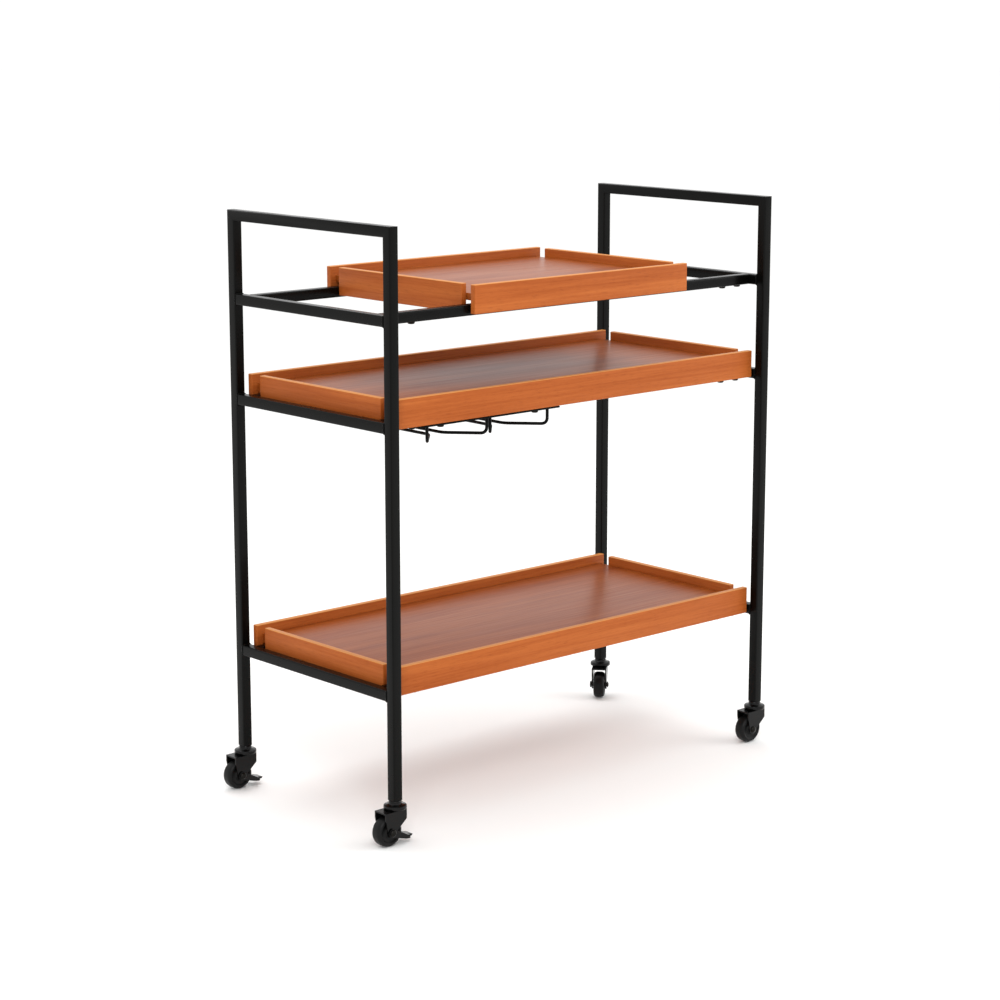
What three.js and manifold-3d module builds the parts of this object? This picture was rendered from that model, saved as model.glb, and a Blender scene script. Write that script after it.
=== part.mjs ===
// Three-tier bar cart on swivel casters: two welded end frames of square steel tube, three pairs of
// long rails, three rimmed wooden trays, a stemware rack and four casters, two with brakes.
// Millimetres, +Z up. X runs along the cart, Y across it (front is -Y), the floor is z = 0, and the
// origin is the centre of the footprint.
import * as THREE from 'three';
import { mergeVertices } from 'three/addons/utils/BufferGeometryUtils.js';
import Module from 'manifold-3d';

const wasm = await Module();
wasm.setup();

// ---- driving dimensions ------------------------------------------------------------------------
const FRAME_WIDTH = 736.6; // over the two end frames
const FRAME_DEPTH = 355.6; // over the legs
const HEIGHT = 838.2; // floor to the top of the handles
const LEG_BOTTOM = 62;

const TUBE = 15;
const TUBE_WALL = 1.2;
const TUBE_CORNER = 2;
const WELD_GAP = 0.3; // between pieces that touch

const RAIL_BOTTOMS = { top: 706, middle: 564.3, lower: 199 };
const PANEL_HEIGHT = 40;
const PANEL_THICKNESS = 9;
const PANEL_LIFT = 3; // underside of a tray's panels above the underside of its rails
const RIM = 13.5; // panel tops above the tray floor
const PANEL_SETBACK = 2; // front panel behind the legs' inner faces
const TRAY_END_GAP = 4; // tray ends to the end rails
const RAIL_SETBACK = 3; // long rails behind the panels' inner faces
const TOP_TRAY_LENGTH = 412;
const TOP_FLOOR_THICKNESS = 10;
const EDGE_ROUND = 1;

const WHEEL_RADIUS = 21;
const WHEEL_WIDTH = 18;
const CASTER_TRAIL = 15; // wheel centre behind the swivel axis
const RACEWAY_RADIUS = 16; // also the reach of the fork's rounded front
const STEM_RADIUS = 5;
const PIN_RADIUS = 3;
const RUNNING_GAP = 0.3;
const FORK_PLATE = 2;
const FORK_GAP = 20; // between the cheeks
const FORK_TOP = 49.5;

const WIRE_RADIUS = 2.25;
const RACK_CENTRES = [-221.6, -107.6]; // middle of each stemware slot along X
const RACK_DROP = 24.3; // wire centres below the underside of the middle rails
const SLOT_HALF = 12; // wire centre to the middle of its slot
const MOUTH_HALF = 54; // the same at the flared mouth
const FLARE_LENGTH = 45;
const STRAP_HALF = 130;

// ---- derived places ----------------------------------------------------------------------------
const legX = (FRAME_WIDTH - TUBE) / 2;
const legY = (FRAME_DEPTH - TUBE) / 2;
const innerX = FRAME_WIDTH / 2 - TUBE; // inner faces of the end frames
const innerY = FRAME_DEPTH / 2 - TUBE;
const panelFaceY = innerY - PANEL_SETBACK; // outer face of the front and back panels
const panelBackY = panelFaceY - PANEL_THICKNESS;
const railY = panelBackY - RAIL_SETBACK - TUBE / 2; // centre lines of the long rails
const sideEndY = railY - TUBE / 2 - 0.5; // the side panels stop short of the rails
const longTrayLength = 2 * (innerX - TRAY_END_GAP);

// The left casters trail outwards, past the end frame, so the footprint's centre is off the frame's.
const wheelOverhang = CASTER_TRAIL + WHEEL_RADIUS;
const frameShift = (wheelOverhang - RACEWAY_RADIUS) / 2;

// ---- finishes ----------------------------------------------------------------------------------
const finish = {
  powderCoat: { color: 0x1b1a18, roughness: 0.42, metalness: 0.0 },
  cherryVeneer: { color: 0xc06a38, roughness: 0.45, metalness: 0.0 },
  floorVeneer: { color: 0xb4683f, roughness: 0.4, metalness: 0.0 },
  blackWire: { color: 0x151515, roughness: 0.35, metalness: 0.2 },
  pressedSteel: { color: 0x191917, roughness: 0.3, metalness: 0.3 },
  tyre: { color: 0x1c1b19, roughness: 0.65, metalness: 0.0 },
  axleBolt: { color: 0x6f6f6c, roughness: 0.35, metalness: 0.9 },
  brakeSteel: { color: 0x1d1c1a, roughness: 0.4, metalness: 0.0 },
  glide: { color: 0x222222, roughness: 0.95, metalness: 0.0 },
};

const cart = new THREE.Group();
cart.position.x = frameShift;

function add(name, look, geometry, parent = cart) {
  const mesh = new THREE.Mesh(geometry, new THREE.MeshStandardMaterial(finish[look]));
  mesh.name = name;
  parent.add(mesh);
  return mesh;
}

// ---- solids: joining and cutting ---------------------------------------------------------------
function toSolid(geometry) {
  const bare = geometry.clone();
  bare.deleteAttribute('normal');
  bare.deleteAttribute('uv');
  const merged = mergeVertices(bare, 1e-4);
  const vertProperties = new Float32Array(merged.attributes.position.array);
  const triVerts = new Uint32Array(merged.index.array);
  return new wasm.Manifold(new wasm.Mesh({ numProp: 3, vertProperties, triVerts }));
}

function toGeometry(solid) {
  const { vertProperties, triVerts } = solid.getMesh();
  const geometry = new THREE.BufferGeometry();
  geometry.setAttribute('position', new THREE.BufferAttribute(vertProperties, 3));
  geometry.setIndex(new THREE.BufferAttribute(triVerts, 1));
  geometry.computeVertexNormals();
  return geometry;
}

const join = (...pieces) => toGeometry(pieces.map(toSolid).reduce((a, b) => a.add(b)));
const overlap = (a, b) => toGeometry(toSolid(a).intersect(toSolid(b)));

function cut(body, ...tools) {
  return toGeometry(tools.map(toSolid).reduce((a, b) => a.subtract(b), toSolid(body)));
}

function box(size, centre) {
  return new THREE.BoxGeometry(...size).translate(...centre);
}

function cylinderZ(radius, z0, z1, [x, y] = [0, 0], segments = 24) {
  const geometry = new THREE.CylinderGeometry(radius, radius, z1 - z0, segments);
  return geometry.rotateX(Math.PI / 2).translate(x, y, (z0 + z1) / 2);
}

function cylinderY(radius, y0, y1, [x, z] = [0, 0], segments = 24) {
  const geometry = new THREE.CylinderGeometry(radius, radius, y1 - y0, segments);
  return geometry.translate(0, (y0 + y1) / 2, 0).translate(x, 0, z);
}

function roundedSquare(path, side, corner) {
  const half = side / 2;
  const flat = half - corner;
  path.absarc(flat, flat, corner, 0, Math.PI / 2);
  path.absarc(-flat, flat, corner, Math.PI / 2, Math.PI);
  path.absarc(-flat, -flat, corner, Math.PI, 1.5 * Math.PI);
  path.absarc(flat, -flat, corner, 1.5 * Math.PI, 2 * Math.PI);
  path.closePath();
  return path;
}

// A hollow square tube along Z, centred on the origin.
function squareTube(length) {
  const section = roundedSquare(new THREE.Shape(), TUBE, TUBE_CORNER);
  section.holes.push(roundedSquare(new THREE.Path(), TUBE - 2 * TUBE_WALL, TUBE_CORNER - TUBE_WALL));
  const options = { depth: length, bevelEnabled: false, curveSegments: 3 };
  return new THREE.ExtrudeGeometry(section, options).translate(0, 0, -length / 2);
}

const tubeAlongY = (length) => squareTube(length).rotateX(Math.PI / 2);
const tubeAlongX = (length) => squareTube(length).rotateY(Math.PI / 2);

// Everything beyond a 45 degree plane through the frame's top corner, to cut a mitre.
// keepsLeg is true to clear the handle's side of the plane, false to clear the leg's side.
function mitreCutter(x, side, keepsLeg) {
  const size = 60;
  const block = box([size, size, size], [0, 0, (size - WELD_GAP) / 2]);
  block.rotateX(keepsLeg ? -Math.PI / 4 : Math.PI - Math.PI / 4);
  if (side > 0) {
    block.rotateZ(Math.PI);
  }
  return block.translate(x, (side * (innerY + FRAME_DEPTH / 2)) / 2, HEIGHT - TUBE / 2);
}

// ---- end frames --------------------------------------------------------------------------------
const corners = [
  { end: 'left', face: 'front', x: -legX, y: -legY },
  { end: 'left', face: 'back', x: -legX, y: legY },
  { end: 'right', face: 'front', x: legX, y: -legY },
  { end: 'right', face: 'back', x: legX, y: legY },
];
const END_PLATE = 3; // closes a leg's foot and carries the caster's thread

for (const { end, face, x, y } of corners) {
  const length = HEIGHT - LEG_BOTTOM;
  const tube = squareTube(length).translate(x, y, LEG_BOTTOM + length / 2);
  const inside = TUBE - 2 * TUBE_WALL + 0.4;
  const plate = box([inside, inside, END_PLATE], [x, y, LEG_BOTTOM + END_PLATE / 2]);
  const thread = cylinderZ(STEM_RADIUS + RUNNING_GAP, LEG_BOTTOM - 1, LEG_BOTTOM + END_PLATE + 1, [x, y]);
  const footed = join(tube, plate);
  add(`${end}_${face}_leg`, 'powderCoat', cut(footed, thread, mitreCutter(x, Math.sign(y), true)));
}

for (const [end, x] of [['left', -legX], ['right', legX]]) {
  const handle = tubeAlongY(FRAME_DEPTH).translate(x, 0, HEIGHT - TUBE / 2);
  const cutters = [mitreCutter(x, -1, false), mitreCutter(x, 1, false)];
  add(`${end}_handle_rail`, 'powderCoat', cut(handle, ...cutters));
  for (const [level, bottom] of Object.entries(RAIL_BOTTOMS)) {
    const rail = tubeAlongY(2 * (innerY - WELD_GAP)).translate(x, 0, bottom + TUBE / 2);
    add(`${end}_${level}_end_rail`, 'powderCoat', rail);
  }
}

// ---- long rails --------------------------------------------------------------------------------
for (const [level, bottom] of Object.entries(RAIL_BOTTOMS)) {
  for (const [face, side] of [['front', -1], ['back', 1]]) {
    const rail = tubeAlongX(2 * (innerX - WELD_GAP)).translate(0, side * railY, bottom + TUBE / 2);
    add(`${face}_${level}_long_rail`, 'powderCoat', rail);
  }
}

// ---- trays -------------------------------------------------------------------------------------
// A board with its long edges along X, eased all round.
function board(sizeX, sizeY, sizeZ) {
  const outline = new THREE.Shape();
  const halfY = sizeY / 2 - EDGE_ROUND;
  const halfZ = sizeZ / 2 - EDGE_ROUND;
  outline.moveTo(-halfY, -halfZ);
  outline.lineTo(halfY, -halfZ);
  outline.lineTo(halfY, halfZ);
  outline.lineTo(-halfY, halfZ);
  outline.closePath();
  const easing = { bevelSize: EDGE_ROUND, bevelThickness: EDGE_ROUND, bevelSegments: 2 };
  const options = { depth: sizeX - 2 * EDGE_ROUND, curveSegments: 1, ...easing };
  const geometry = new THREE.ExtrudeGeometry(outline, options);
  geometry.translate(0, 0, -(sizeX - 2 * EDGE_ROUND) / 2);
  return geometry.rotateX(Math.PI / 2).rotateZ(Math.PI / 2);
}

// The long trays' floors lie on the rails; the top tray's thinner floor lies on its glide strips.
const floorRise = PANEL_LIFT + PANEL_HEIGHT - RIM; // floor surface above the underside of the rails
const railRise = TUBE + WELD_GAP;
const trays = {
  top: { length: TOP_TRAY_LENGTH, floorThickness: TOP_FLOOR_THICKNESS },
  middle: { length: longTrayLength, floorThickness: floorRise - railRise },
  lower: { length: longTrayLength, floorThickness: floorRise - railRise },
};

for (const [level, { length, floorThickness }] of Object.entries(trays)) {
  const panelZ = RAIL_BOTTOMS[level] + PANEL_LIFT + PANEL_HEIGHT / 2;
  const floorTop = RAIL_BOTTOMS[level] + floorRise;
  const panelY = panelFaceY - PANEL_THICKNESS / 2;
  const sideX = (length - PANEL_THICKNESS) / 2;

  for (const [face, side] of [['front', -1], ['back', 1]]) {
    const panel = board(length, PANEL_THICKNESS, PANEL_HEIGHT);
    add(`${level}_tray_${face}_panel`, 'cherryVeneer', panel.translate(0, side * panelY, panelZ));
  }
  for (const [end, side] of [['left', -1], ['right', 1]]) {
    const panel = board(2 * sideEndY, PANEL_THICKNESS, PANEL_HEIGHT).rotateZ(Math.PI / 2);
    add(`${level}_tray_${end}_panel`, 'cherryVeneer', panel.translate(side * sideX, 0, panelZ));
  }
  const floorLength = 2 * (sideX - PANEL_THICKNESS / 2 - WELD_GAP);
  const floor = board(floorLength, 2 * (panelBackY - WELD_GAP), floorThickness);
  add(`${level}_tray_floor`, 'floorVeneer', floor.translate(0, 0, floorTop - floorThickness / 2));
}

// Strips under the top tray's floor, which carry it on the rails and let it slide along them.
const GLIDE_LENGTH = 370;
const glideBottom = RAIL_BOTTOMS.top + railRise;
const glideTop = RAIL_BOTTOMS.top + floorRise - TOP_FLOOR_THICKNESS - WELD_GAP;
for (const [face, side] of [['front', -1], ['back', 1]]) {
  const centre = [0, side * railY, (glideTop + glideBottom) / 2];
  add(`top_tray_${face}_glide`, 'glide', box([GLIDE_LENGTH, 11, glideTop - glideBottom], centre));
}

// ---- stemware rack -----------------------------------------------------------------------------
const rackTop = RAIL_BOTTOMS.middle - WELD_GAP;
const STRAP_THICKNESS = 2.5;
const strapBottom = rackTop - STRAP_THICKNESS;
const wireZ = RAIL_BOTTOMS.middle - RACK_DROP;
const rackCentre = (RACK_CENTRES[0] + RACK_CENTRES[1]) / 2;

for (const [face, side] of [['front', -1], ['back', 1]]) {
  const centre = [rackCentre, side * railY, rackTop - STRAP_THICKNESS / 2];
  add(`rack_${face}_strap`, 'blackWire', box([2 * STRAP_HALF, 12, STRAP_THICKNESS], centre));
}

// One side of a slot: down from the front strap, in along the flared mouth, straight to the back,
// and up to the back strap.
function rackWire(centreX, side) {
  const mouthX = centreX + side * MOUTH_HALF;
  const slotX = centreX + side * SLOT_HALF;
  const top = strapBottom - WELD_GAP;
  const bend = 7;
  const flareEnd = -railY + FLARE_LENGTH;
  const corner = [
    new THREE.Vector3(mouthX, -railY, top),
    new THREE.Vector3(mouthX, -railY, wireZ),
    new THREE.Vector3(slotX, flareEnd, wireZ),
    new THREE.Vector3(slotX, railY, wireZ),
    new THREE.Vector3(slotX, railY, top),
  ];
  const path = new THREE.CurvePath();
  let from = corner[0];
  for (let i = 1; i < corner.length - 1; i += 1) {
    const before = corner[i].clone().add(corner[i - 1].clone().sub(corner[i]).setLength(bend));
    const after = corner[i].clone().add(corner[i + 1].clone().sub(corner[i]).setLength(bend));
    path.add(new THREE.LineCurve3(from, before));
    path.add(new THREE.QuadraticBezierCurve3(before, corner[i], after));
    from = after;
  }
  path.add(new THREE.LineCurve3(from, corner[corner.length - 1]));
  const section = new THREE.Shape().absarc(0, 0, WIRE_RADIUS, 0, 2 * Math.PI);
  const options = { steps: 88, curveSegments: 4, bevelEnabled: false, extrudePath: path };
  return new THREE.ExtrudeGeometry(section, options);
}

RACK_CENTRES.forEach((centreX, slot) => {
  for (const [hand, side] of [['left', -1], ['right', 1]]) {
    add(`rack_wire_${slot + 1}_${hand}`, 'blackWire', rackWire(centreX, side));
  }
});

// ---- casters -----------------------------------------------------------------------------------
// A caster is drawn about its swivel axis with its wheel trailing towards -X.
const RACEWAY_BOTTOM = FORK_TOP + RUNNING_GAP;
const RACEWAY_TOP = 61;
const PIN_HEAD_RADIUS = 5;

// The stem, its collar and the bearing's upper raceway, with the king pin riveted below the fork.
function casterStem() {
  const outline = [
    [0, FORK_TOP - 6],
    [PIN_HEAD_RADIUS, FORK_TOP - 6],
    [PIN_HEAD_RADIUS, FORK_TOP - FORK_PLATE - RUNNING_GAP],
    [PIN_RADIUS, FORK_TOP - FORK_PLATE - RUNNING_GAP],
    [PIN_RADIUS, RACEWAY_BOTTOM],
    [RACEWAY_RADIUS - 1, RACEWAY_BOTTOM],
    [RACEWAY_RADIUS, RACEWAY_BOTTOM + 1.5],
    [RACEWAY_RADIUS - 0.5, RACEWAY_BOTTOM + 5],
    [RACEWAY_RADIUS - 2, RACEWAY_TOP - 4],
    [RACEWAY_RADIUS - 4.3, RACEWAY_TOP - 2],
    [RACEWAY_RADIUS - 7, RACEWAY_TOP - 0.4],
    [STEM_RADIUS + 2.5, LEG_BOTTOM - WELD_GAP],
    [STEM_RADIUS, LEG_BOTTOM - WELD_GAP],
    [STEM_RADIUS, LEG_BOTTOM + 22],
    [STEM_RADIUS - 1, LEG_BOTTOM + 23],
    [0, LEG_BOTTOM + 23],
  ];
  const profile = outline.map(([radius, z]) => new THREE.Vector2(radius, z));
  return new THREE.LatheGeometry(profile, 24).rotateX(Math.PI / 2);
}

const cheekY = FORK_GAP / 2;
const HOOD_REACH = 26; // the fork's hood over the wheel

// A pressed fork: a top plate bent down into two cheeks that taper to the axle.
function casterFork() {
  const cheek = new THREE.Shape();
  cheek.moveTo(RACEWAY_RADIUS, FORK_TOP);
  cheek.lineTo(-HOOD_REACH, FORK_TOP);
  cheek.lineTo(-HOOD_REACH, FORK_TOP - 9);
  cheek.lineTo(-CASTER_TRAIL - 7.5, WHEEL_RADIUS + 1);
  cheek.absarc(-CASTER_TRAIL, WHEEL_RADIUS, 7.5, Math.PI, 2 * Math.PI);
  cheek.lineTo(RACEWAY_RADIUS, FORK_TOP - 8);
  cheek.closePath();
  const wide = FORK_GAP + 2 * FORK_PLATE;
  const options = { depth: wide, curveSegments: 6, bevelEnabled: false };
  const block = new THREE.ExtrudeGeometry(cheek, options);
  block.rotateX(Math.PI / 2).translate(0, wide / 2, 0);
  const plan = join(cylinderZ(RACEWAY_RADIUS, 0, 60), box([60, 40, 60], [-30, 0, 30]));
  const hollow = box([100, FORK_GAP, FORK_TOP], [0, 0, FORK_TOP / 2 - FORK_PLATE]);
  const pinHole = cylinderZ(PIN_RADIUS + RUNNING_GAP, FORK_TOP - 10, FORK_TOP + 5);
  const axleHole = cylinderY(PIN_RADIUS + WELD_GAP, -wide, wide, [-CASTER_TRAIL, WHEEL_RADIUS]);
  return cut(overlap(block, plan), hollow, pinHole, axleHole);
}

// A moulded wheel with a rounded tread, dished sides and a bore for the axle.
function casterWheel() {
  const half = WHEEL_WIDTH / 2;
  const bore = PIN_RADIUS + RUNNING_GAP;
  const outline = [
    [bore, -half],
    [7, -half],
    [8.5, -half + 2.5],
    [14.5, -half + 2.5],
    [16, -half + 0.4],
    [18.6, -half + 0.8],
    [20.4, -half + 3],
    [WHEEL_RADIUS, -half + 6],
  ];
  const mirrored = outline.map(([radius, y]) => [radius, -y]).reverse();
  const loop = [...outline, ...mirrored, outline[0]];
  const profile = loop.map(([radius, y]) => new THREE.Vector2(radius, y));
  return new THREE.LatheGeometry(profile, 32).translate(-CASTER_TRAIL, 0, 0);
}

// The axle bolt, with a head on one cheek and a nut on the other.
function casterAxle(gripHalf) {
  const headHeight = 3;
  const shaft = cylinderY(PIN_RADIUS, -gripHalf - 1, gripHalf + 1);
  const head = cylinderY(5, gripHalf + WELD_GAP, gripHalf + headHeight);
  const nut = cylinderY(5.2, -gripHalf - headHeight, -gripHalf - WELD_GAP, [0, 0], 6);
  return join(shaft, head, nut).translate(-CASTER_TRAIL, 0, WHEEL_RADIUS);
}

const LEVER_PLATE = 1.8;
const LEVER_GAP = 0.4;
const leverY = cheekY + FORK_PLATE + LEVER_GAP; // inner face of the lever's arms
const PEDAL_REACH = 38;

// A stirrup on the axle: two arms outside the cheeks and a pedal that joins them past the wheel.
function brakeLever() {
  const arm = new THREE.Shape();
  arm.absarc(0, 0, 6.5, Math.PI / 2, 1.5 * Math.PI);
  arm.lineTo(24, -13);
  arm.lineTo(PEDAL_REACH, -13.5);
  arm.lineTo(PEDAL_REACH + 2, -11);
  arm.lineTo(26, -7.5);
  arm.closePath();
  const wide = 2 * (leverY + LEVER_PLATE);
  const options = { depth: wide, curveSegments: 6, bevelEnabled: false };
  const block = new THREE.ExtrudeGeometry(arm, options).rotateX(Math.PI / 2).translate(0, wide / 2, 0);
  const hollow = box([44, 2 * leverY, 40], [2, 0, 0]);
  const waists = [-1, 1].map((side) => box([30, wide, 30], [45, side * (wide / 2 + 7), 0]));
  const axleHole = cylinderY(PIN_RADIUS + RUNNING_GAP, -wide, wide);
  return cut(block, hollow, ...waists, axleHole).translate(-CASTER_TRAIL, 0, WHEEL_RADIUS);
}

// Heading is the way each wheel trails, turned from -X about its stem, in degrees.
const heading = { left_front: 0, left_back: 0, right_front: 0, right_back: 41 };

for (const { end, face, x, y } of corners) {
  const place = `${end}_${face}`;
  const caster = new THREE.Group();
  caster.position.set(x, y, 0);
  cart.add(caster);
  add(`${place}_caster_stem`, 'pressedSteel', casterStem(), caster);

  const swivel = new THREE.Group();
  swivel.rotation.z = THREE.MathUtils.degToRad(heading[place]);
  caster.add(swivel);
  const braked = end === 'left';
  const gripHalf = braked ? leverY + LEVER_PLATE + LEVER_GAP : cheekY + FORK_PLATE + WELD_GAP;
  add(`${place}_caster_fork`, 'pressedSteel', casterFork(), swivel);
  add(`${place}_caster_axle`, 'axleBolt', casterAxle(gripHalf), swivel);
  const wheel = casterWheel();
  wheel.translate(0, 0, WHEEL_RADIUS);
  add(`${place}_caster_wheel`, 'tyre', wheel, swivel);
  if (braked) {
    add(`${place}_brake_lever`, 'brakeSteel', brakeLever(), swivel);
  }
}

export default cart;
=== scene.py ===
# %% [markdown]
# # A bar cart on casters
#
# This lesson dresses a bar cart that has already been designed in CAD: two hoops of square steel
# tube, three pairs of long rails, three wooden trays, a stemware rack and four casters. The CAD model
# is loaded as a fixed frame, in metres, and each piece made here stands for one or more of its solids
# and moves with the same body. Places and outer sizes are read from the frame. The profiles of turned
# parts, the tube's corner radius, the wire, the screws and the beads are typed in, in millimetres.

# %% Load the frame
import math
import bpy
import bmesh
import numpy as np
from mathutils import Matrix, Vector


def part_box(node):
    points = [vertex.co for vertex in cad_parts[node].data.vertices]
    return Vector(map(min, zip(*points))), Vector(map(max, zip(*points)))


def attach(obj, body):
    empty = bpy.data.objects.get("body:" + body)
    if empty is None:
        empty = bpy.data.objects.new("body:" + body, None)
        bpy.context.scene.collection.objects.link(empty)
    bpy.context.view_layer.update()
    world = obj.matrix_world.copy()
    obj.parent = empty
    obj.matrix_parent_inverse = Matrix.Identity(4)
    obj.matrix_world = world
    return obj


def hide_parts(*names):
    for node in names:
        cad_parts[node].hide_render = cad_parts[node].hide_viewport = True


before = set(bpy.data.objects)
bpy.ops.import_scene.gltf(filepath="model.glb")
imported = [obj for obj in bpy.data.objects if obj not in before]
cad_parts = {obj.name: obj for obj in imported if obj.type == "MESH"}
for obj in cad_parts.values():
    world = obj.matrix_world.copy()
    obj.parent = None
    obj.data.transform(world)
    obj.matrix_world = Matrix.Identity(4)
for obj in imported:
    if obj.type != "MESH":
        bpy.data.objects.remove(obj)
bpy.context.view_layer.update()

MM = 0.001

# %% [markdown]
# ## The camera
#
# A 90 mm lens from nearly four metres keeps the legs almost parallel, as a catalogue view does. The
# camera stands off the cart's left front corner and looks slightly down on to the trays.

# %% Stand the camera
def make_camera(place, turn, tip, lens):
    """The line of sight starts along +Y, turns by `turn` towards +X and drops by `tip`."""
    camera = bpy.data.objects.new("camera", bpy.data.cameras.new("camera"))
    bpy.context.scene.collection.objects.link(camera)
    turn, tip = math.radians(turn), math.radians(tip)
    sight = Vector((math.sin(turn) * math.cos(tip), math.cos(turn) * math.cos(tip), -math.sin(tip)))
    camera.location = place
    camera.rotation_mode = "QUATERNION"
    camera.rotation_quaternion = sight.to_track_quat("-Z", "Y")
    camera.data.lens = lens
    camera.data.sensor_width = 36
    bpy.context.scene.camera = camera
    return camera


camera = make_camera((-2.417, -2.670, 1.137), turn=42.09, tip=11.52, lens=90)
print("camera", [round(value, 3) for value in camera.location], "lens", camera.data.lens)

# %% [markdown]
# ## Colour and nodes
#
# Colours are chosen as the sRGB hex values that a paint chart gives. Shaders work in linear light, so
# one function converts them. One more function adds a node, sets it and links it, and every material
# below is written with it.

# %% Helpers for materials
def linear(code):
    """sRGB to linear: value / 12.92 below 0.04045, else ((value + 0.055) / 1.055) to the power 2.4."""
    value = np.array([int(code[i:i + 2], 16) for i in (1, 3, 5)]) / 255
    light = np.where(value <= 0.04045, value / 12.92, ((value + 0.055) / 1.055) ** 2.4)
    return (*light.tolist(), 1.0)


def add_node(tree, kind, sockets=None, **settings):
    """Adds one node. A setting is a property; a socket takes a value, or a link if given an output."""
    made = tree.nodes.new("ShaderNode" + kind)
    for name, value in settings.items():
        setattr(made, name, value)
    for name, value in (sockets or {}).items():
        if isinstance(value, bpy.types.NodeSocket):
            tree.links.new(value, made.inputs[name])
        else:
            made.inputs[name].default_value = value
    return made


def new_material(name):
    """An empty node material with its Principled shader already joined to the output."""
    material = bpy.data.materials.new(name)
    material.use_nodes = True
    tree = material.node_tree
    tree.nodes.clear()
    shader = add_node(tree, "BsdfPrincipled")
    add_node(tree, "OutputMaterial", {"Surface": shader.outputs["BSDF"]})
    return material, tree, shader


def ramp(tree, value, stops):
    """A colour ramp through (position, linear colour) stops."""
    made = add_node(tree, "ValToRGB", {"Fac": value})
    elements = made.color_ramp.elements
    while len(elements) < len(stops):
        elements.new(0.5)
    for element, (position, colour) in zip(elements, stops):
        element.position = position
        element.color = colour
    return made.outputs["Color"]


def object_pattern(tree, scale, turn=0.0, shift=(0, 0, 0)):
    """Object coordinates turned about Z, moved and scaled, for a pattern fixed to the piece."""
    place = add_node(tree, "TexCoord").outputs["Object"]
    facing = add_node(tree, "Mapping", {"Vector": place, "Rotation": (0, 0, turn), "Location": shift})
    scaled = add_node(tree, "Mapping", {"Vector": facing.outputs["Vector"], "Scale": scale})
    return scaled.outputs["Vector"]


print("linear #808080 is", round(linear("#808080")[0], 4))

# %% [markdown]
# ## Powder-coated steel tube
#
# The frame is mild steel tube, sprayed with black polyester powder and baked. The coat is a plastic
# skin about 0.08 mm thick: it isn't a metal to the eye, it has a soft even gloss, and a faint orange
# peel about 2 mm across shows where it catches a light. So the shader is a dielectric at IOR 1.5 with
# noise in its bump and its roughness.

# %% Coat the tubes
def powder_coat(name, colour, roughness, specular, peel_mm=2.0, depth_mm=0.02):
    """Black baked powder: orange peel of `peel_mm` in the bump, and a little variation in the gloss.
    Its matting agent scatters part of the mirror light, so the specular level is below a clear gloss."""
    material, tree, shader = new_material(name)
    per_metre = 1 / (peel_mm * MM)
    peel = add_node(tree, "TexNoise", {"Vector": object_pattern(tree, (per_metre,) * 3),
                                       "Scale": 1.0, "Detail": 2.0, "Roughness": 0.5})
    cloud = add_node(tree, "TexNoise", {"Vector": object_pattern(tree, (18, 18, 18)),
                                        "Scale": 1.0, "Detail": 3.0})
    gloss = add_node(tree, "MapRange", {"Value": cloud.outputs["Fac"], "From Min": 0.3, "From Max": 0.7,
                                        "To Min": roughness - 0.05, "To Max": roughness + 0.07})
    bump = add_node(tree, "Bump", {"Height": peel.outputs["Fac"], "Strength": 0.35,
                                   "Distance": depth_mm * MM})
    shader.inputs["Base Color"].default_value = linear(colour)
    shader.inputs["IOR"].default_value = 1.5
    shader.inputs["Specular IOR Level"].default_value = specular
    tree.links.new(gloss.outputs["Result"], shader.inputs["Roughness"])
    tree.links.new(bump.outputs["Normal"], shader.inputs["Normal"])
    return material


tube_coat = powder_coat("black_polyester_powder_coat", "#060605", 0.24, specular=0.1)
wire_coat = powder_coat("black_dipped_wire", "#080808", 0.30, specular=0.07, peel_mm=1.5)
fork_coat = powder_coat("black_electrocoated_steel", "#070707", 0.17, specular=0.2, peel_mm=1.2,
                        depth_mm=0.01)
print("coats:", tube_coat.name, wire_coat.name, fork_coat.name)
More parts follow.
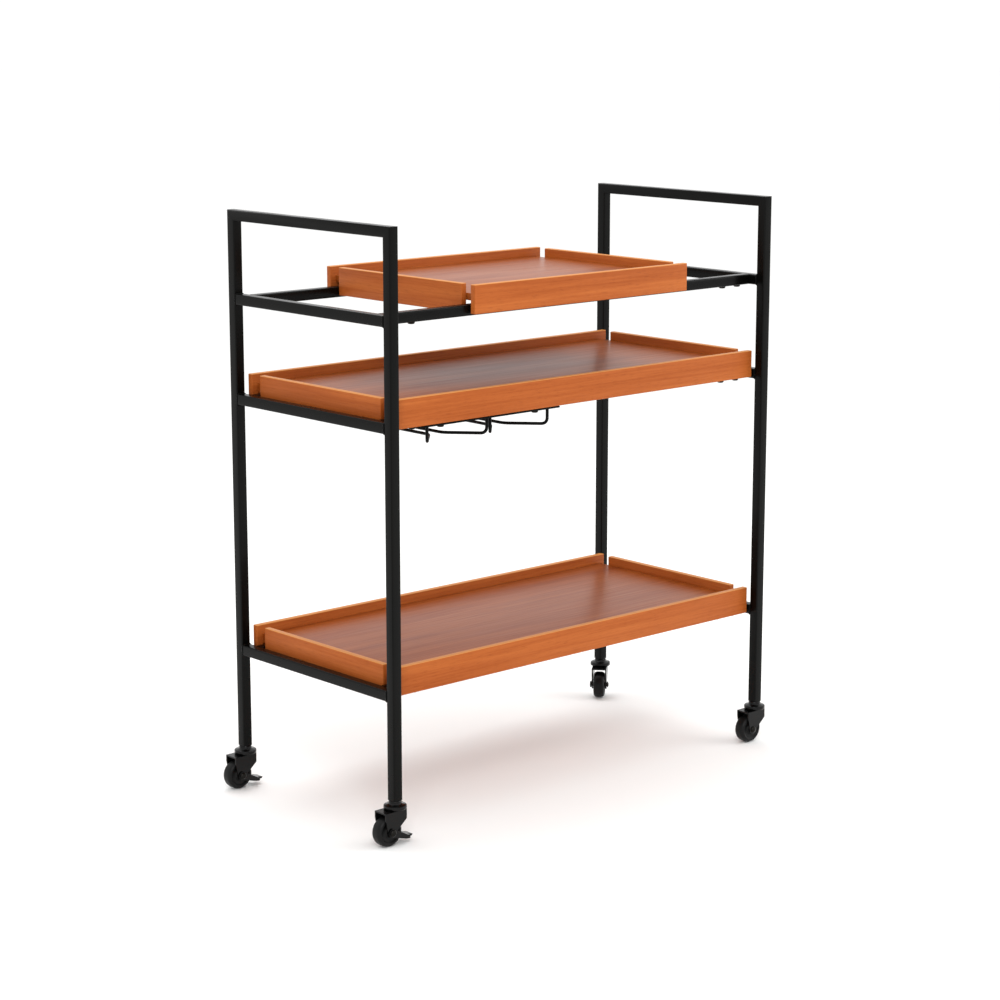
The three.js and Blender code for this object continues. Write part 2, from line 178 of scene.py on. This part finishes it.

# %% [markdown]
# ## Lacquered cherry veneer
#
# The trays are boards faced with stained cherry veneer under a satin lacquer. Three things show: broad
# bands of figure a few centimetres wide that run the length of the board, fine growth lines a few
# millimetres apart, and short dark pores. All three are noise stretched along the grain, which is how
# wood grows. The lacquer is a thin clear coat. The cut top edge is painted with a paler strip, marked by
# an attribute that the board's own mesh carries. The strip is partly the edge banding's own paler colour
# and partly a painted highlight where the eased edge catches the light.

# %% Veneer the boards
def cherry_veneer(name, colours, turn=0.0, shift=(0, 0, 0), roughness=0.42, specular=0.3, coat=0.1):
    """Figure, growth lines and pores, each a noise stretched along the grain; paler on the banded top
    edge, which is partly the banding's colour and partly a painted highlight.
    """
    material, tree, shader = new_material(name)
    dark, middle, light, edge = (linear(code) for code in colours)
    figure = add_node(tree, "TexNoise", {"Vector": object_pattern(tree, (2.2, 34, 34), turn, shift),
                                         "Scale": 1.0, "Detail": 4.0, "Distortion": 0.6})
    lines = add_node(tree, "TexNoise", {"Vector": object_pattern(tree, (7, 330, 330), turn, shift),
                                        "Scale": 1.0, "Detail": 3.0, "Distortion": 0.3})
    pores = add_node(tree, "TexNoise", {"Vector": object_pattern(tree, (60, 1300, 1300), turn, shift),
                                        "Scale": 1.0, "Detail": 2.0})
    tone = add_node(tree, "Math", {0: figure.outputs["Fac"], 1: 0.62}, operation="MULTIPLY")
    tone = add_node(tree, "Math", {0: lines.outputs["Fac"], 1: 0.38, 2: tone.outputs["Value"]},
                    operation="MULTIPLY_ADD")
    wood = ramp(tree, tone.outputs["Value"], [(0.28, dark), (0.5, middle), (0.72, light)])
    pore = ramp(tree, pores.outputs["Fac"], [(0.34, (0.66, 0.58, 0.5, 1)), (0.44, (1, 1, 1, 1))])
    wood = add_node(tree, "Mix", {"Factor": 0.5, "A": wood, "B": pore},
                    data_type="RGBA", blend_type="MULTIPLY").outputs["Result"]
    # The paler top edge is partly the banding's own colour and partly a painted highlight.
    band_and_highlight = add_node(tree, "Attribute", attribute_name="edge_band_and_highlight").outputs["Fac"]
    wood = add_node(tree, "Mix", {"Factor": band_and_highlight, "A": wood, "B": edge},
                    data_type="RGBA").outputs["Result"]
    sheen = add_node(tree, "MapRange", {"Value": lines.outputs["Fac"], "From Min": 0.3, "From Max": 0.7,
                                        "To Min": roughness + 0.05, "To Max": roughness - 0.04})
    bump = add_node(tree, "Bump", {"Height": pores.outputs["Fac"], "Strength": 0.25,
                                   "Distance": 0.03 * MM})
    tree.links.new(wood, shader.inputs["Base Color"])
    tree.links.new(sheen.outputs["Result"], shader.inputs["Roughness"])
    tree.links.new(bump.outputs["Normal"], shader.inputs["Normal"])
    shader.inputs["IOR"].default_value = 1.5
    shader.inputs["Specular IOR Level"].default_value = specular
    shader.inputs["Coat Weight"].default_value = coat
    shader.inputs["Coat Roughness"].default_value = 0.22
    return material


# The fourth panel colour is the pale top edge: partly banding colour, partly a painted highlight.
PANEL_COLOURS = ("#924310", "#A75521", "#B9662D", "#CA8446")
# Floor colours are darker than the panels': partly the veneer's own tone and partly painted shade,
# standing for the shade the trays above cast on the floors below.
FLOOR_COLOURS_WITH_PAINTED_SHADE = ("#7C350A", "#904613", "#A05520", "#A05520")
print("veneer runs from", PANEL_COLOURS[0], "to", PANEL_COLOURS[2])

# %% [markdown]
# ## Moulded nylon, blackened steel and glide strip
#
# A caster's wheel is injection-moulded nylon with carbon black: low gloss, with a fine spark-eroded
# texture from the mould. Its bolt is steel, blackened in hot oxide, so it is a metal with a dark colour.
# The glide strips under the top tray are matt felt-like plastic.

# %% Mould the nylon and blacken the bolts
def moulded_nylon(name, colour, roughness, specular, grit_mm):
    """A dielectric with a fine even texture of `grit_mm`, drawn coarse enough to show."""
    material, tree, shader = new_material(name)
    grit = add_node(tree, "TexNoise", {"Vector": object_pattern(tree, (1 / (grit_mm * MM),) * 3),
                                       "Scale": 1.0, "Detail": 4.0, "Roughness": 0.6})
    gloss = add_node(tree, "MapRange", {"Value": grit.outputs["Fac"], "From Min": 0.3, "From Max": 0.7,
                                        "To Min": roughness - 0.05, "To Max": roughness + 0.06})
    bump = add_node(tree, "Bump", {"Height": grit.outputs["Fac"], "Strength": 0.4, "Distance": 0.03 * MM})
    shader.inputs["Base Color"].default_value = linear(colour)
    shader.inputs["IOR"].default_value = 1.53
    shader.inputs["Specular IOR Level"].default_value = specular
    tree.links.new(gloss.outputs["Result"], shader.inputs["Roughness"])
    tree.links.new(bump.outputs["Normal"], shader.inputs["Normal"])
    return material


def hot_blacked_steel(name, colour, roughness):
    """Steel darkened in a bath of hot oxide: a metal, with turning marks 0.4 mm apart in its gloss."""
    material, tree, shader = new_material(name)
    marks = add_node(tree, "TexNoise", {"Vector": object_pattern(tree, (2500, 2500, 2500)),
                                        "Scale": 1.0, "Detail": 2.0})
    gloss = add_node(tree, "MapRange", {"Value": marks.outputs["Fac"], "From Min": 0.3, "From Max": 0.7,
                                        "To Min": roughness - 0.05, "To Max": roughness + 0.08})
    shader.inputs["Base Color"].default_value = linear(colour)
    shader.inputs["Metallic"].default_value = 1.0
    tree.links.new(gloss.outputs["Result"], shader.inputs["Roughness"])
    return material


wheel_nylon = moulded_nylon("moulded_black_nylon", "#0E0E0E", 0.40, specular=0.15, grit_mm=0.8)
glide_plastic = moulded_nylon("matt_glide_strip", "#1E1E1C", 0.8, specular=0.2, grit_mm=0.5)
bolt_steel = hot_blacked_steel("hot_blacked_bolt_steel", "#232220", 0.34)
screw_steel = hot_blacked_steel("black_zinc_screw_steel", "#232220", 0.38)
print("small parts:", wheel_nylon.name, glide_plastic.name, bolt_steel.name, screw_steel.name)

# %% [markdown]
# ## From a grid of points to a piece
#
# Every new piece is a grid of points worked out by numpy, row by row along a path and column by column
# round a section. One function joins neighbours into faces, makes sure they all look outwards, merges
# the points that meet at poles and seams, and hands the piece to its body.

# %% Turn grids into pieces
def grid_faces(rows, columns, closed_rows=False, caps=True):
    """Quads between neighbours on a grid whose columns wrap round, plus a cap on each open end."""
    row, column = np.meshgrid(np.arange(rows if closed_rows else rows - 1), np.arange(columns),
                              indexing="ij")
    here, after = row * columns, (row + 1) % rows * columns
    beside = (column + 1) % columns
    quads = np.stack([here + column, here + beside, after + beside, after + column], -1)
    faces = quads.reshape(-1, 4).tolist()
    if caps and not closed_rows:
        faces.append(list(range(columns))[::-1])
        faces.append([(rows - 1) * columns + i for i in range(columns)])
    return faces


def outward_mesh(name, grids):
    """A mesh in metres from (points in mm, faces) grids. Doubles are merged, then normals recalculated."""
    mesh = bpy.data.meshes.new(name)
    starts = np.cumsum([0] + [len(points) for points, _ in grids])
    points = np.concatenate([points for points, _ in grids]) * MM
    faces = [[index + int(start) for index in face]
             for start, (_, part) in zip(starts, grids) for face in part]
    mesh.from_pydata(points.tolist(), [], faces)
    shell = bmesh.new()
    shell.from_mesh(mesh)
    bmesh.ops.remove_doubles(shell, verts=shell.verts, dist=2e-6)
    bmesh.ops.recalc_face_normals(shell, faces=shell.faces)
    shell.to_mesh(mesh)
    shell.free()
    return mesh


def dress(name, mesh, material, body, nodes=(), sharp=38):
    """Puts a mesh in the scene, smooth but for edges sharper than `sharp`, riding on its body."""
    mesh.shade_smooth()
    mesh.set_sharp_from_angle(angle=math.radians(sharp))
    mesh.materials.append(material)
    piece = bpy.data.objects.new(name, mesh)
    bpy.context.scene.collection.objects.link(piece)
    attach(piece, body)
    if nodes:
        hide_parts(*nodes)
    return piece


def box_mm(node):
    """The lowest and highest corner of a CAD node, in mm."""
    return [np.array(corner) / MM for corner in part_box(node)]


# %% [markdown]
# ## Square tube along a path
#
# A tube is a rounded square carried along its centre line. Where the line turns sharply, as in the
# mitred top corners, one ring of points lies in the mitre plane, and is stretched in it by one over the
# cosine of half the turn, so both arms keep their width.

# %% Carry a section along a path
def rounded_square(side, corner, steps=5):
    """Four quarter circles of radius `corner`, each moved out to a corner of the square."""
    turn = np.linspace(0, np.pi / 2, steps + 1)
    angle = (turn + np.pi / 2 * np.arange(4)[:, None]).ravel()
    quarter = np.repeat(np.arange(4) + 0.5, steps + 1) * np.pi / 2
    flat = side / 2 - corner
    across = np.sign(np.cos(quarter)) * flat + corner * np.cos(angle)
    along = np.sign(np.sin(quarter)) * flat + corner * np.sin(angle)
    return np.stack([across, along], -1)


def ring(radius, count=24):
    """A circle of points."""
    angle = np.arange(count) * 2 * np.pi / count
    return radius * np.stack([np.cos(angle), np.sin(angle)], -1)


def carry(path, section, reference, closed=False):
    """Point = path + a * side + b * other, where side is the reference made square to the path's
    direction and other is square to both, stretched by one over the cosine of half the turn."""
    path = np.asarray(path, float)
    step = np.roll(path, -1, 0) - path if closed else np.diff(path, axis=0)
    step /= np.linalg.norm(step, axis=1, keepdims=True)
    before = np.roll(step, 1, 0) if closed else np.vstack([step[:1], step])
    after = step if closed else np.vstack([step, step[-1:]])
    tangent = before + after
    tangent /= np.linalg.norm(tangent, axis=1, keepdims=True)
    side = reference - tangent * (tangent @ reference)[:, None]
    side /= np.linalg.norm(side, axis=1, keepdims=True)
    other = np.cross(tangent, side)
    stretch = 1 / np.sum(tangent * after, 1)
    offset = (section[:, 0, None] * side[:, None, :]
              + section[:, 1, None] * (other * stretch[:, None])[:, None, :])
    points = (path[:, None, :] + offset).reshape(-1, 3)
    return points, grid_faces(len(path), len(section), closed_rows=closed)


CORNER = 2.0
rail_low, rail_high = box_mm("left_lower_end_rail")
TUBE = rail_high[2] - rail_low[2]
tube_section = rounded_square(TUBE, CORNER)
print("tube is", round(float(TUBE), 2), "mm square, section of", len(tube_section), "points")

# %% [markdown]
# ## End hoops
#
# Each end of the cart is one hoop: two legs and the handle rail, mitred and welded at the top corners.
# The hoop is one path with two sharp turns, so it is carried in one piece and stands for three solids.

# %% Bend the two hoops
UP, ACROSS, ALONG = np.array([0, 0, 1.0]), np.array([0, 1.0, 0]), np.array([1.0, 0, 0])

for end in ("left", "right"):
    low, _ = box_mm(f"{end}_front_leg")
    _, high = box_mm(f"{end}_back_leg")
    top = box_mm(f"{end}_handle_rail")[1][2] - TUBE / 2
    x = low[0] + TUBE / 2
    front, back = low[1] + TUBE / 2, high[1] - TUBE / 2
    line = [(x, front, low[2]), (x, front, top), (x, back, top), (x, back, low[2])]
    nodes = (f"{end}_front_leg", f"{end}_back_leg", f"{end}_handle_rail")
    mesh = outward_mesh(f"{end}_hoop", [carry(line, tube_section, ALONG)])
    hoop = dress(f"{end}_hoop", mesh, tube_coat, "frame", nodes)
    print(hoop.name, "has", len(mesh.polygons), "faces, top corner at", round(float(top), 1), "mm")

# %% [markdown]
# ## End rails and long rails
#
# The rails are straight lengths of the same tube. Three cross each end between the legs, and a pair of
# long rails joins the ends at each level.

# %% Cut the straight rails
rail_nodes = [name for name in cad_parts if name.endswith(("_end_rail", "_long_rail"))]
for name in rail_nodes:
    low, high = box_mm(name)
    middle, reach = (low + high) / 2, (high - low) / 2
    way = ALONG if reach[0] > reach[1] else ACROSS
    line = [middle - way * reach, middle + way * reach]
    mesh = outward_mesh(name + "_tube", [carry(line, tube_section, UP)])
    dress(name + "_tube", mesh, tube_coat, "frame", (name,))
print(len(rail_nodes), "rails cut")

# %% [markdown]
# ## Weld beads
#
# Where an end rail meets a leg, a bead of weld runs round the joint. It shows under the powder as a
# small ripple that fills the corner. It is a ring that follows the tube's own section, and its radius
# swells and shrinks as the welder's torch moved.

# %% Run the beads
BEAD_SIDES = 8
BEAD_INSET = 0.2


def weld_bead(centre, way, radius=1.1):
    """A round bead along the tube's outline: the path is the section itself, in the joint's plane.
    Its radius is multiplied by 1 + 0.18 sin(2.9 i) at point i of the path."""
    outline = rounded_square(TUBE, CORNER, steps=4)
    over = np.cross(way, UP)
    path = centre + outline[:, 0, None] * over + outline[:, 1, None] * UP
    points, faces = carry(path, ring(radius, BEAD_SIDES), way, closed=True)
    index = np.arange(len(points)) // BEAD_SIDES
    swell = 1 + 0.18 * np.sin(index * 2.9)
    core = np.repeat(path, BEAD_SIDES, axis=0)
    return core + (points - core) * swell[:, None], faces


for end in ("left", "right"):
    beads = []
    for level in ("top", "middle", "lower"):
        low, high = box_mm(f"{end}_{level}_end_rail")
        middle = (low + high) / 2
        for y in (low[1] + BEAD_INSET, high[1] - BEAD_INSET):
            beads.append(weld_bead(np.array([middle[0], y, middle[2]]), ACROSS))
    mesh = outward_mesh(f"{end}_weld_beads", beads)
    dress(f"{end}_weld_beads", mesh, tube_coat, "frame")
    print(f"{end}_weld_beads:", len(beads), "beads")

# %% [markdown]
# ## Boards with eased edges
#
# Each panel and floor is a board with its edges eased by about a millimetre. The neatest way to round a
# box is to take a small ball, cut it into its eight octants and push each one out to a corner of the
# board: the skin stretched between them is the rounded board. The upper ring of points carries the
# attribute for the pale top edge, which is partly banding colour and partly a painted highlight.

# %% Ease a board
def eased_board(low, high, ease=1.0, steps=4):
    """Point = centre + octant sign * (half size - ease) + ease * unit direction, on a latitude by
    longitude grid whose quarter turns are each drawn in full, so the flats lie between them."""
    turn = np.linspace(0, np.pi / 2, steps + 1)
    longitude = (turn + np.pi / 2 * np.arange(4)[:, None]).ravel()
    quarter = np.repeat(np.arange(4) + 0.5, steps + 1) * np.pi / 2
    latitude = np.concatenate([turn - np.pi / 2, turn])[:, None]
    half_turn = np.repeat([-1.0, 1.0], steps + 1)[:, None]
    ones = np.ones_like(latitude * longitude)
    way = np.stack([np.cos(latitude) * np.cos(longitude), np.cos(latitude) * np.sin(longitude),
                    np.sin(latitude) * ones], -1)
    sign = np.stack([np.sign(np.cos(quarter)) * ones, np.sign(np.sin(quarter)) * ones,
                     half_turn * ones], -1)
    points = (low + high) / 2 + sign * ((high - low) / 2 - ease) + ease * way
    return points.reshape(-1, 3), grid_faces(2 * (steps + 1), 4 * (steps + 1))


def mark_top_edge(mesh, top, depth):
    """The edge mark is 1 on every point within `depth` of the board's top face, and 0 below it. It marks
    the pale top edge, partly banding colour and partly a painted highlight.
    """
    place = np.empty(3 * len(mesh.vertices))
    mesh.vertices.foreach_get("co", place)
    height = place.reshape(-1, 3)[:, 2] / MM
    band_and_highlight = mesh.attributes.new("edge_band_and_highlight", "FLOAT", "POINT")
    band_and_highlight.data.foreach_set("value", (height > top - depth).astype(float))


SHIFTS = {"top": 0.11, "middle": 0.37, "lower": 0.83}
# Depth of the pale top edge, which is partly banding colour and partly a painted highlight.
BAND_AND_HIGHLIGHT_DEPTH = 0.7
FLOOR_FINISH = {"roughness": 0.36, "specular": 0.22, "coat": 0.06}
PANEL_FINISH = {"roughness": 0.45, "specular": 0.14, "coat": 0.0}
for level, start in SHIFTS.items():
    body = "top_tray" if level == "top" else "frame"
    for number, side in enumerate(("front_panel", "back_panel", "left_panel", "right_panel", "floor")):
        node = f"{level}_tray_{side}"
        low, high = box_mm(node)
        turn = math.pi / 2 if side in ("left_panel", "right_panel") else 0.0
        shift = (start + number * 0.29, number * 0.17 - start, start * number)
        is_floor = side == "floor"
        veneer = cherry_veneer(f"lacquered_cherry_veneer_{level}_{side}",
                               FLOOR_COLOURS_WITH_PAINTED_SHADE if is_floor else PANEL_COLOURS, turn, shift,
                               **(FLOOR_FINISH if is_floor else PANEL_FINISH))
        mesh = outward_mesh(node + "_board", [eased_board(low, high)])
        mark_top_edge(mesh, high[2], 0 if is_floor else BAND_AND_HIGHLIGHT_DEPTH)
        slot = "floor_veneer" if is_floor else "panel_veneer"
        dress(node + "_board", mesh, veneer, body, (node,))
    print(level, "tray veneered on body", body)

# %% [markdown]
# ## Glide strips and rack straps
#
# Small flat strips are boards too, with a smaller ease.

# %% Cut the strips
for face in ("front", "back"):
    for node, body, slot, material in (
            (f"top_tray_{face}_glide", "top_tray", "glide", glide_plastic),
            (f"rack_{face}_strap", "frame", "rack_wire", wire_coat)):
        low, high = box_mm(node)
        mesh = outward_mesh(node + "_strip", [eased_board(low, high, ease=0.5, steps=3)])
        dress(node + "_strip", mesh, material, body, (node,))
print("strips cut: two glides and two straps")

# %% [markdown]
# ## Stemware wires
#
# Each slot is a pair of round wires. A wire hangs from the front strap, turns in, narrows from a wide
# mouth to the slot, runs straight back and rises to the back strap. It is bent on a former, so each turn
# is an arc. The path is the corner points with each corner swapped for a smooth curve that starts and
# ends a set distance from it.

# %% Bend the wires
def bent_line(corners, bend, steps=10):
    """Near each inner corner the line is (1-t)^2 before + 2t(1-t) corner + t^2 after, with `before` and
    `after` a distance `bend` from it; all corners are worked out together."""
    corners = np.asarray(corners, float)
    inner = corners[1:-1]
    back, ahead = corners[:-2] - inner, corners[2:] - inner
    before = inner + bend * back / np.linalg.norm(back, axis=1, keepdims=True)
    after = inner + bend * ahead / np.linalg.norm(ahead, axis=1, keepdims=True)
    t = np.linspace(0, 1, steps + 1)[None, :, None]
    arcs = (1 - t) ** 2 * before[:, None] + 2 * t * (1 - t) * inner[:, None] + t ** 2 * after[:, None]
    return np.vstack([corners[:1], arcs.reshape(-1, 3), corners[-1:]])


WIRE = 2.25
BEND = 9
MOUTH_DEPTH = 45
for number in (1, 2):
    for hand, side in (("left", -1), ("right", 1)):
        node = f"rack_wire_{number}_{hand}"
        low, high = box_mm(node)
        mouth = (low if side < 0 else high)[0] - side * WIRE
        slot_x = (high if side < 0 else low)[0] + side * WIRE
        front, back = low[1] + WIRE, high[1] - WIRE
        run, top = low[2] + WIRE, high[2]
        corners = [(mouth, front, top), (mouth, front, run), (slot_x, front + MOUTH_DEPTH, run),
                   (slot_x, back, run), (slot_x, back, top)]
        wire = carry(bent_line(corners, BEND), ring(WIRE, 16), ALONG)
        mesh = outward_mesh(node + "_bent", [wire])
        dress(node + "_bent", mesh, wire_coat, "frame", (node,))
print("wires bent: two slots of two wires")

# %% [markdown]
# ## Turned pieces
#
# Screw heads, caster stems, wheels and bolts are all turned: a profile of radius against height swung
# round an axis. A hexagon is the same thing with the radius of some rows multiplied by the shape of a
# six-sided nut, so a socket or a nut needs no second method.

# %% Turn a profile
def turned(profile, centre, axis, count=48, hexed=(), closed=False):
    """Point = centre + radius * (cos a * e1 + sin a * e2) + height * axis. On the rows in `hexed` the
    radius is also multiplied by cos 30 over the cosine of the angle from the nearest flat's middle."""
    axis = np.asarray(axis, float)
    first = np.cross(axis, UP if abs(axis[2]) < 0.9 else ALONG)
    first /= np.linalg.norm(first)
    second = np.cross(axis, first)
    angle = np.arange(count) * 2 * np.pi / count
    flat = np.cos(np.pi / 6) / np.cos(angle % (np.pi / 3) - np.pi / 6)
    profile = np.asarray(profile, float)
    on_hex = np.isin(np.arange(len(profile)), hexed)[:, None]
    radius = profile[:, :1] * np.where(on_hex, flat, 1.0)
    spoke = np.cos(angle)[:, None] * first + np.sin(angle)[:, None] * second
    points = centre + radius[..., None] * spoke + profile[:, 1, None, None] * axis
    return points.reshape(-1, 3), grid_faces(len(profile), count, closed_rows=closed, caps=False)


def smoothed(profile, rounds=2):
    """Corner cutting: each edge gives a point a quarter and three quarters along; the ends stay."""
    line = np.asarray(profile, float)
    for _ in range(rounds):
        near, far = 0.75 * line[:-1] + 0.25 * line[1:], 0.25 * line[:-1] + 0.75 * line[1:]
        between = np.stack([near, far], 1).reshape(-1, 2)
        line = np.vstack([line[:1], between, line[-1:]])
    return line


SCREW_HEAD = [(0, 1.2), (1.9, 1.2), (2.1, 2.8), (3.2, 3.0), (4.3, 2.6), (4.9, 1.6), (5.0, 0.5), (4.7, 0),
              (0, 0)]
print("a screw head is", 2 * max(row[0] for row in SCREW_HEAD), "mm across with a hexagon socket")

# %% [markdown]
# ## Screws
#
# Under each end of every long rail two button-head screws go up into the bracket inside the tube, and
# two more hold each strap of the stemware rack.

# %% Drive the screws
SCREW_STEPS = np.array([19.0, 51.0])
RACK_STEP = 87.0


def drive(name, places, y, z):
    """Screw heads hanging from height z at each x in `places`, as one piece."""
    heads = [turned(SCREW_HEAD, np.array([x, y, z]), -UP, 24, hexed=(1, 2)) for x in places]
    dress(name, outward_mesh(name, heads), screw_steel, "frame")
    return len(heads)


screw_count = 0
for name in [name for name in rail_nodes if name.endswith("_long_rail")]:
    low, high = box_mm(name)
    places = [*(low[0] + SCREW_STEPS), *(high[0] - SCREW_STEPS)]
    screw_count += drive(name + "_screws", places, (low[1] + high[1]) / 2, low[2])

for face in ("front", "back"):
    low, high = box_mm(f"rack_{face}_strap")
    x, y, _ = (low + high) / 2
    screw_count += drive(f"rack_{face}_screws", [x - RACK_STEP, x + RACK_STEP], y, low[2])
print(screw_count, "screws driven")

# %% [markdown]
# ## Casters
#
# Each caster is a stem with a pressed raceway cup, a fork bent from sheet, a moulded wheel and an axle
# bolt. The cup is a shallow pressed disc with a collar under the leg. The cup and the wheel are turned.
# The wheel trails behind the stem, so each caster's direction is read from its own solids: it runs from
# the stem's centre to the wheel's.

# %% Find each caster
CASTERS = ("left_front", "left_back", "right_front", "right_back")


def caster_places(place):
    """Stem centre, wheel centre and the level unit vector along the axle, in mm."""
    stem = sum(box_mm(f"{place}_caster_stem")) / 2
    wheel = sum(box_mm(f"{place}_caster_wheel")) / 2
    trail = (wheel - stem) * (1, 1, 0)
    trail /= np.linalg.norm(trail)
    return stem, wheel, np.cross(UP, trail)


for place in CASTERS:
    stem, wheel, axle = caster_places(place)
    print(place, "wheel at", np.round(wheel, 1).tolist(), "axle along", np.round(axle, 2).tolist())

# %% Turn the stems and cups
CUP = [(0, 43.6), (4.2, 43.6), (5, 44.4), (5, 47.2), (3, 47.3), (3, 49.9), (14.8, 49.9), (15.6, 50.4),
       (16, 51.4), (16, 54.4), (15.5, 55.5), (14.3, 56.1), (9.9, 56.9), (9.2, 57.5), (9, 60.4),
       (8.2, 61.7), (5, 61.7), (5, 84), (4, 85), (0, 85)]
for place in CASTERS:
    stem, _, _ = caster_places(place)
    cup = turned(CUP, np.array([stem[0], stem[1], 0.0]), UP, 56)
    mesh = outward_mesh(f"{place}_caster_cup", [cup])
    dress(f"{place}_caster_cup", mesh, fork_coat, "frame", (f"{place}_caster_stem",))
print("cups turned, rim radius", max(row[0] for row in CUP), "mm")

# %% [markdown]
# The wheel is closed on itself round its bore. Its tread is crowned, its side has a raised rim, a dished
# web and a raised hub, and the profile's corners are cut twice so that light runs round them softly.

# %% Mould the wheels
HALF_WHEEL = [(3.3, 0), (3.3, 8.9), (6.6, 8.9), (7.6, 8.2), (8.6, 6.4), (13.4, 6.2), (14.8, 7.2),
              (15.8, 8.6), (18.2, 8.6), (19.6, 7.4), (20.7, 5.2), (21.0, 2.4), (21.0, 0)]


def wheel_profile():
    """The half profile and its mirror image, as one closed loop."""
    half = smoothed(HALF_WHEEL, 2)
    return np.vstack([half, (half * (1, -1))[-2:0:-1]])


for place in CASTERS:
    _, wheel, axle = caster_places(place)
    mesh = outward_mesh(f"{place}_wheel_moulding", [turned(wheel_profile(), wheel, axle, 72, closed=True)])
    dress(f"{place}_wheel_moulding", mesh, wheel_nylon, f"{place}_wheel",
          (f"{place}_caster_wheel",), sharp=60)
print("wheel profile has", len(wheel_profile()), "points")

# %% [markdown]
# ## Axle bolts
#
# The bolt has a domed head on one side and a hexagon nut on the other. The bolts at the left end also
# carry a brake lever, so they are longer. Both casters of an end have the same bolt, and its length is
# read from the front one, whose axle lies along Y.

# %% Turn the axle bolts
def bolt_profile(grip):
    """Domed head at +grip, shank between, hexagon nut at -grip; closed on the axis at both ends."""
    return [(0, grip + 3.0), (1.6, grip + 2.9), (3.4, grip + 2.3), (4.6, grip + 1.2), (5.0, grip + 0.3),
            (3.0, grip + 0.3), (3.0, -grip - 0.3), (5.2, -grip - 0.3), (5.2, -grip - 2.6),
            (4.6, -grip - 3.0), (0, -grip - 3.0)]


BOLT_END = 3.0
for place in CASTERS:
    _, wheel, axle = caster_places(place)
    low, high = box_mm(place.split("_")[0] + "_front_caster_axle")
    grip = (high - low)[1] / 2 - BOLT_END
    bolt = turned(bolt_profile(grip), wheel, axle, 48, hexed=(7, 8, 9))
    dress(f"{place}_axle_bolt", outward_mesh(f"{place}_axle_bolt", [bolt]), bolt_steel,
          f"{place}_caster", (f"{place}_caster_axle",))
    print(place, "bolt grips", round(float(grip), 4), "mm each side")

# %% [markdown]
# ## Pressed forks and brake levers
#
# The forks and levers are cut and bent from sheet, and their CAD shapes are right already but for
# their knife edges. A copy of each mesh is merged, its flat faces are joined, and a Bevel modifier
# rounds every edge by a few tenths of a millimetre, as a press tool and the coat leave it.

# %% Ease the pressed parts
def eased_copy(node, name, width_mm, material, body):
    """A merged copy of a CAD solid with a small round on every edge sharper than 25 degrees."""
    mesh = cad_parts[node].data.copy()
    mesh.materials.clear()
    shell = bmesh.new()
    shell.from_mesh(mesh)
    bmesh.ops.remove_doubles(shell, verts=shell.verts, dist=2e-5)
    bmesh.ops.dissolve_limit(shell, angle_limit=math.radians(1), verts=shell.verts, edges=shell.edges)
    shell.to_mesh(mesh)
    shell.free()
    piece = dress(name, mesh, material, body, (node,), sharp=30)
    ease = piece.modifiers.new("eased_edges", "BEVEL")
    ease.width = width_mm * MM
    ease.segments = 2
    ease.limit_method = "ANGLE"
    ease.angle_limit = math.radians(25)
    ease.harden_normals = True
    return piece


for place in CASTERS:
    eased_copy(f"{place}_caster_fork", f"{place}_pressed_fork", 0.8, fork_coat, f"{place}_caster")
for place in CASTERS[:2]:
    eased_copy(f"{place}_brake_lever", f"{place}_pressed_lever", 0.4, fork_coat, f"{place}_brake")
print("pressed parts eased:", len(CASTERS), "forks and two levers")

# %% [markdown]
# ## Floor
#
# The cart stands on a plain sheet of matt white paper, half a millimetre under the wheels.

# %% Lay the floor
floor_mesh = bpy.data.meshes.new("studio_floor")
REACH, DROP = 30, 0.5 * MM
corners = [(x * REACH, y * REACH, -DROP) for x, y in ((-1, -1), (1, -1), (1, 1), (-1, 1))]
floor_mesh.from_pydata(corners, [], [(0, 1, 2, 3)])
studio_floor = bpy.data.objects.new("studio_floor", floor_mesh)
bpy.context.scene.collection.objects.link(studio_floor)
paper, paper_tree, paper_shader = new_material("matt_studio_paper")
paper_shader.inputs["Base Color"].default_value = linear("#FDFDFC")
paper_shader.inputs["Roughness"].default_value = 0.95
paper_shader.inputs["Specular IOR Level"].default_value = 0.1
floor_mesh.materials.append(paper)
print("floor laid")

# %% [markdown]
# ## Light
#
# A large soft light high on the camera's left models the tubes, a weaker one fills from the right and a
# third comes from above. The white room around puts the broad sheen on the lacquered floors.

# %% Hang the lights
def soft_light(name, place, aim, size, watts):
    """A square area light whose face is turned to `aim`."""
    lamp = bpy.data.lights.new(name, "AREA")
    lamp.size = size
    lamp.energy = watts
    holder = bpy.data.objects.new(name, lamp)
    holder.location = place
    holder.rotation_mode = "QUATERNION"
    holder.rotation_quaternion = (Vector(aim) - Vector(place)).to_track_quat("-Z", "Y")
    bpy.context.scene.collection.objects.link(holder)
    return holder


soft_light("key", (-2.4, -2.6, 2.8), (0, 0, 0.5), 1.4, 50)
soft_light("fill", (2.6, -2.2, 1.8), (0, 0, 0.5), 1.8, 26)
soft_light("top", (0.3, 0.9, 3.0), (0, 0, 0.6), 1.6, 24)

world = bpy.data.worlds.new("white_room")
world.use_nodes = True
backdrop = world.node_tree.nodes["Background"]
backdrop.inputs["Color"].default_value = (1, 1, 1, 1)
backdrop.inputs["Strength"].default_value = 1.05
bpy.context.scene.world = world
bpy.context.scene.view_settings.view_transform = "Standard"
print("lights hung")
